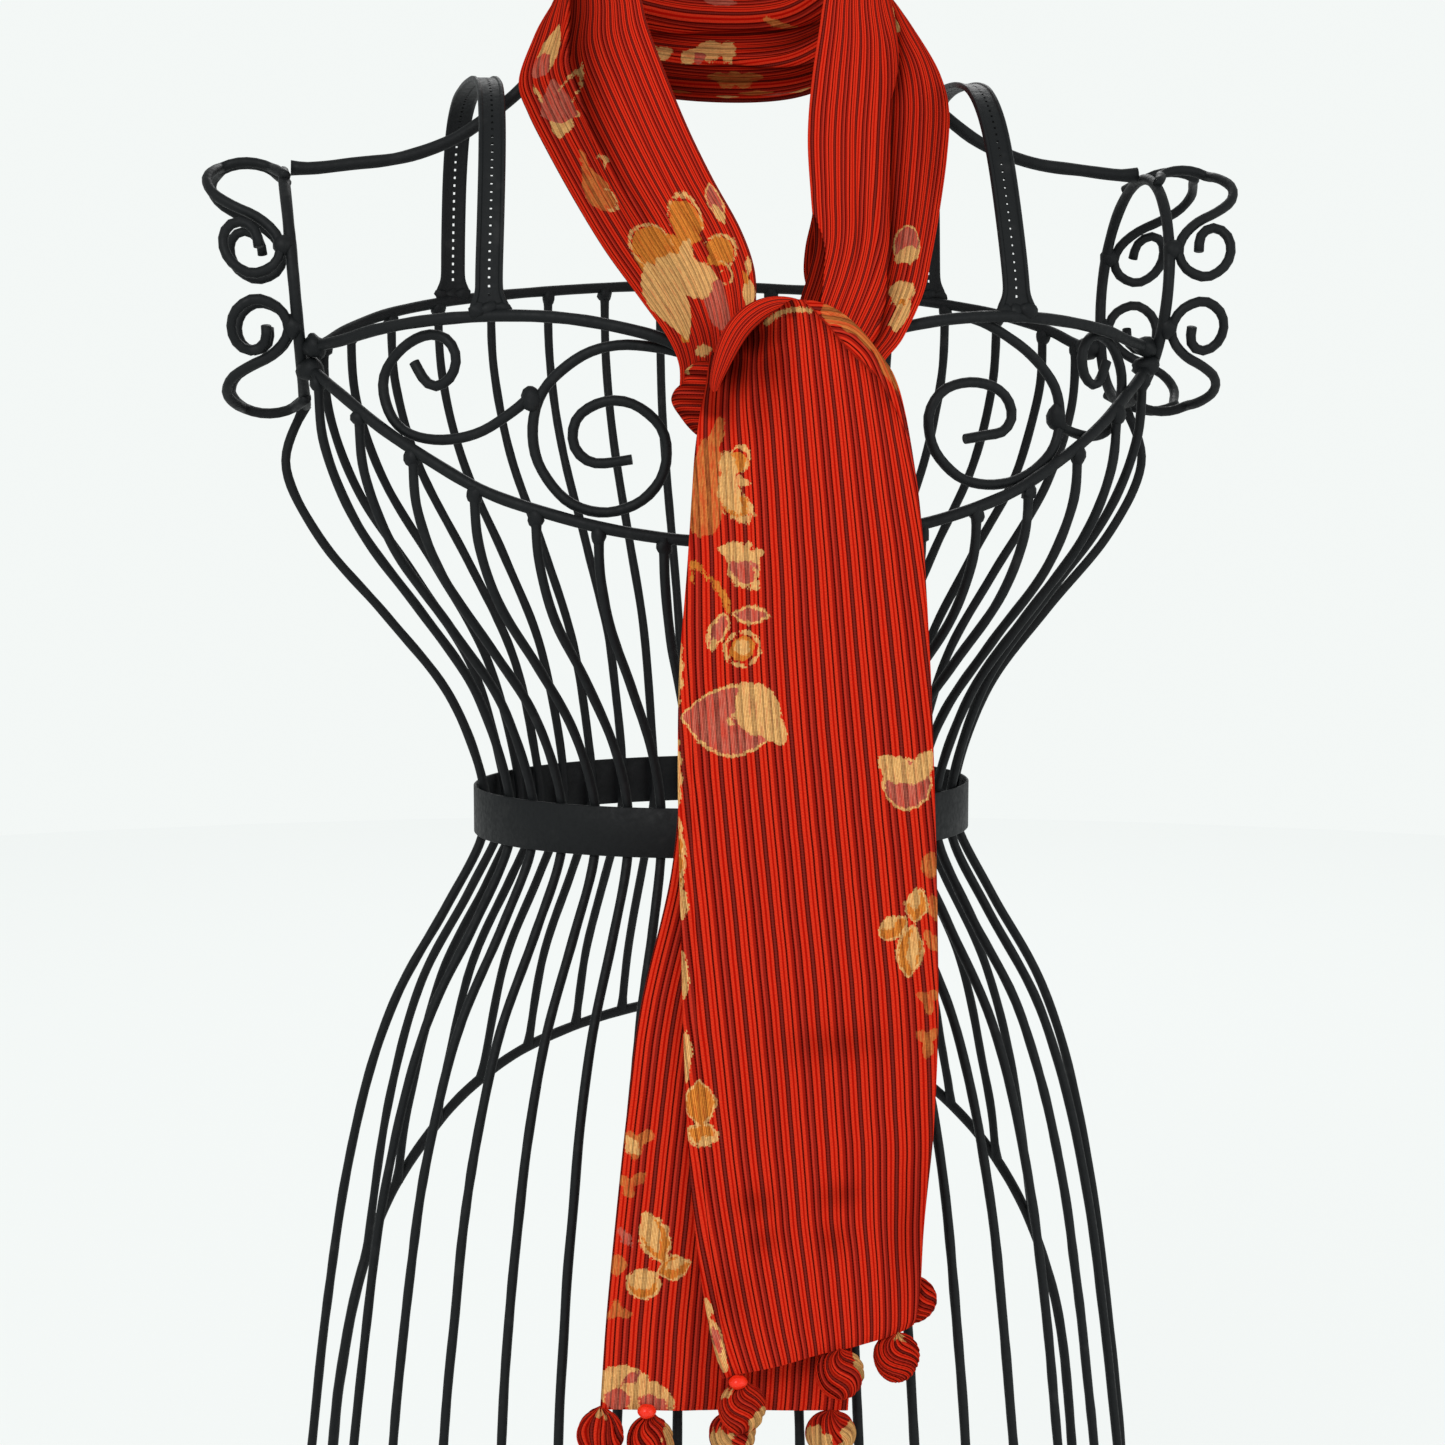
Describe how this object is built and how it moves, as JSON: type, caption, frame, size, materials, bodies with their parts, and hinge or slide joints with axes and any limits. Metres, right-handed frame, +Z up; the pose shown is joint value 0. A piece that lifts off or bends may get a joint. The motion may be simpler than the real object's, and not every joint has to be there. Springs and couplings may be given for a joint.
{
  "type": "silk scarf on a limbless wire dress form",
  "caption": "Striped floral silk tube scarf with wound ball trim, tied over itself at the chest of a black scrolled wire dress form.",
  "frame": {"origin": "on the floor at the middle of the hem ring, under the form's upright axis", "axes": "+Z up, the form and the knot face -Y, +X is to the right of someone who looks at the front"},
  "size_m": [0.4826, 0.378, 0.9886],
  "materials": {
    "black_iron": "satin black enamel over welded steel wire",
    "red_silk": "ribbed silk, woven stripes and flowers, soft sheen",
    "ball_silk": "wound folded silk"
  },
  "bodies": {
    "root": {"waist_band": "black_iron", "hem_and_arch": "black_iron", "front_rail": "black_iron", "under_bust_rail": "black_iron", "back_rail": "black_iron", "shoulder_rail": "black_iron", "sleeve_left": "black_iron", "sleeve_right": "black_iron", "bust_scroll_left": "black_iron", "bust_scroll_right": "black_iron", "strap_left": "black_iron", "strap_right": "black_iron", "upright_01": "black_iron", "upright_02": "black_iron", "upright_03": "black_iron", "upright_04": "black_iron", "upright_05": "black_iron", "upright_06": "black_iron", "upright_07": "black_iron", "upright_08": "black_iron", "upright_09": "black_iron", "upright_10": "black_iron", "upright_11": "black_iron", "upright_12": "black_iron", "upright_13": "black_iron", "upright_14": "black_iron", "upright_15": "black_iron", "upright_16": "black_iron", "upright_17": "black_iron", "upright_18": "black_iron", "upright_19": "black_iron", "upright_20": "black_iron", "upright_21": "black_iron", "upright_22": "black_iron", "upright_23": "black_iron", "upright_24": "black_iron", "upright_25": "black_iron", "upright_26": "black_iron", "upright_27": "black_iron", "upright_28": "black_iron", "upright_29": "black_iron", "upright_30": "black_iron", "upright_31": "black_iron", "upright_32": "black_iron", "upright_33": "black_iron", "upright_34": "black_iron", "left_strand": "red_silk", "right_strand": "red_silk", "neck_back": "red_silk", "knot_wrap": "red_silk", "front_tail": "red_silk", "back_tail": "red_silk", "front_ball_1": "ball_silk", "front_ball_2": "ball_silk", "front_ball_3": "ball_silk", "front_ball_4": "ball_silk", "back_ball_1": "ball_silk", "back_ball_2": "ball_silk", "back_ball_3": "ball_silk", "back_ball_4": "ball_silk"}
  },
  "joints": []
}
